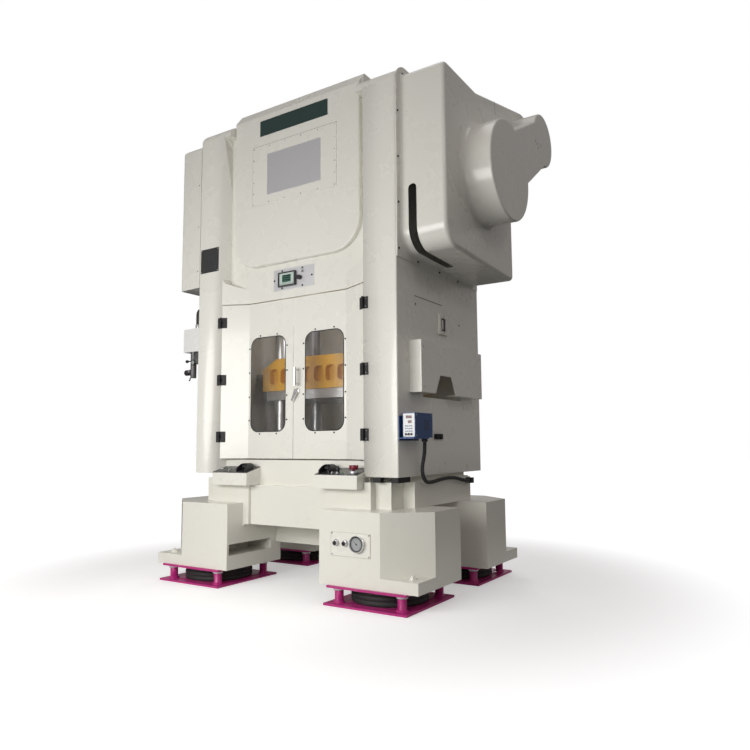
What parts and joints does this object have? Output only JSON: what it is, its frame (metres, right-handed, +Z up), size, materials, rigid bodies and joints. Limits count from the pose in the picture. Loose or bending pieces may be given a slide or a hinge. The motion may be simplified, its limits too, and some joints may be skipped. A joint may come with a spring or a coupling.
{
  "type": "mechanical stamping press",
  "caption": "straight-sided mechanical stamping press with bay doors, crown hood, side flywheel cover and anti-vibration feet",
  "frame": {"origin": "on the floor, in the middle of the rectangle of floor anchor holes in the isolator base plates", "axes": "+X to the right seen from the front, towards the flywheel cover; +Y from the front to the back; +Z up"},
  "size_m": [2.211, 1.578, 3.152],
  "materials": {
    "ivory": "smooth gloss enamel",
    "magenta": "gloss enamel",
    "navy": "semi-gloss enamel",
    "orange": "gloss enamel",
    "steel": "ground",
    "bright": "polished",
    "iron": "machined",
    "brass": "turned",
    "rubber": "matt",
    "black": "fine grain",
    "red": "gloss",
    "white": "gloss",
    "pane": "clear"
  },
  "bodies": {
    "frame": {"bed": "ivory", "left_upright": "ivory", "right_upright": "ivory", "crown": "ivory", "front_fascia": "ivory", "rear_panel": "ivory", "front_hood": "ivory", "rear_hood": "ivory", "inspection_cover": "ivory", "flywheel_cover": "ivory", "left_side_cover": "ivory", "feed_guards": "ivory", "operator_boxes": "ivory", "isolator_bases": "magenta", "isolator_tops": "magenta", "monitor_case": "navy", "monitor_bracket": "navy", "bolster_plate": "steel", "tie_rods": "steel", "service_panel": "steel", "hose_fitting": "steel", "regulator": "steel", "guide_posts": "bright", "pressure_gauge": "bright", "motor": "iron", "main_bearings": "brass", "isolator_rubbers": "rubber", "drive_belts": "rubber", "inlet_hose": "rubber", "hinge_frame_leaves": "black", "console_plates": "black", "button_guards": "black", "display_unit": "black", "conduit": "black", "conduit_glands": "black", "display_panel": "white", "air_box": "white", "sight_glass": "white"},
    "slide_unit": {"slide": "orange", "ram_plate": "steel", "connecting_rods": "iron"},
    "crank": {"crankshaft": "steel", "flywheel": "iron"},
    "motor_rotor": {"motor_pulley": "iron"},
    "left_leaf": {"left_door": "ivory", "left_window": "pane", "left_window_screws": "black", "left_hinge_leaves": "black"},
    "right_leaf": {"right_door": "ivory", "right_window": "pane", "right_window_screws": "black", "right_hinge_leaves": "black", "door_handle": "bright"},
    "latch": {"latch_lever": "bright"},
    "left_palm_button": {"palm_button_left": "black"},
    "right_palm_button": {"palm_button_right": "black"},
    "emergency_stop": {"stop_button": "red"},
    "selector": {"selector_switch": "black"},
    "unit_knob": {"display_knob": "black"},
    "pressure_knob": {"regulator_knob": "black"}
  },
  "joints": [
    {"name": "slide_stroke", "type": "slide", "parent": "frame", "child": "slide_unit", "axis": [0, 0, 1], "range_m": [-0.03, 0]},
    {"name": "crank_turn", "type": "hinge", "parent": "frame", "child": "crank", "pos_m": [0, 0, 2.44], "axis": [1, 0, 0], "continuous": true},
    {"name": "motor_turn", "type": "hinge", "parent": "frame", "child": "motor_rotor", "pos_m": [0, 0.615, 2.86], "axis": [1, 0, 0], "continuous": true},
    {"name": "left_door_hinge", "type": "hinge", "parent": "frame", "child": "left_leaf", "pos_m": [-0.556, -0.546, 1.266], "axis": [0, 0, -1], "range_deg": [0, 115]},
    {"name": "right_door_hinge", "type": "hinge", "parent": "frame", "child": "right_leaf", "pos_m": [0.556, -0.546, 1.266], "axis": [0, 0, 1], "range_deg": [0, 115]},
    {"name": "latch_turn", "type": "hinge", "parent": "right_leaf", "child": "latch", "pos_m": [0.022, -0.471, 1.172], "axis": [0, 1, 0], "range_deg": [0, 90]},
    {"name": "left_palm_press", "type": "slide", "parent": "frame", "child": "left_palm_button", "axis": [0, 0, -1], "range_m": [0, 0.006], "stiffness_N_per_m": 600},
    {"name": "right_palm_press", "type": "slide", "parent": "frame", "child": "right_palm_button", "axis": [0, 0, -1], "range_m": [0, 0.006], "stiffness_N_per_m": 600},
    {"name": "stop_press", "type": "slide", "parent": "frame", "child": "emergency_stop", "axis": [0, 0, -1], "range_m": [0, 0.006], "stiffness_N_per_m": 600},
    {"name": "selector_turn", "type": "hinge", "parent": "frame", "child": "selector", "pos_m": [0.385, -0.546, 0.705], "axis": [0, 0, 1], "range_deg": [-45, 45]},
    {"name": "unit_knob_turn", "type": "hinge", "parent": "frame", "child": "unit_knob", "pos_m": [0.037, -0.47, 1.876], "axis": [0, 1, 0], "range_deg": [-150, 150]},
    {"name": "pressure_turn", "type": "hinge", "parent": "frame", "child": "pressure_knob", "pos_m": [-0.9, -0.505, 1.338], "axis": [1, 0, 0], "range_deg": [-180, 180]}
  ],
  "couplings": [
    {"joint": "motor_turn", "follows": "crank_turn", "ratio": 2.708}
  ]
}
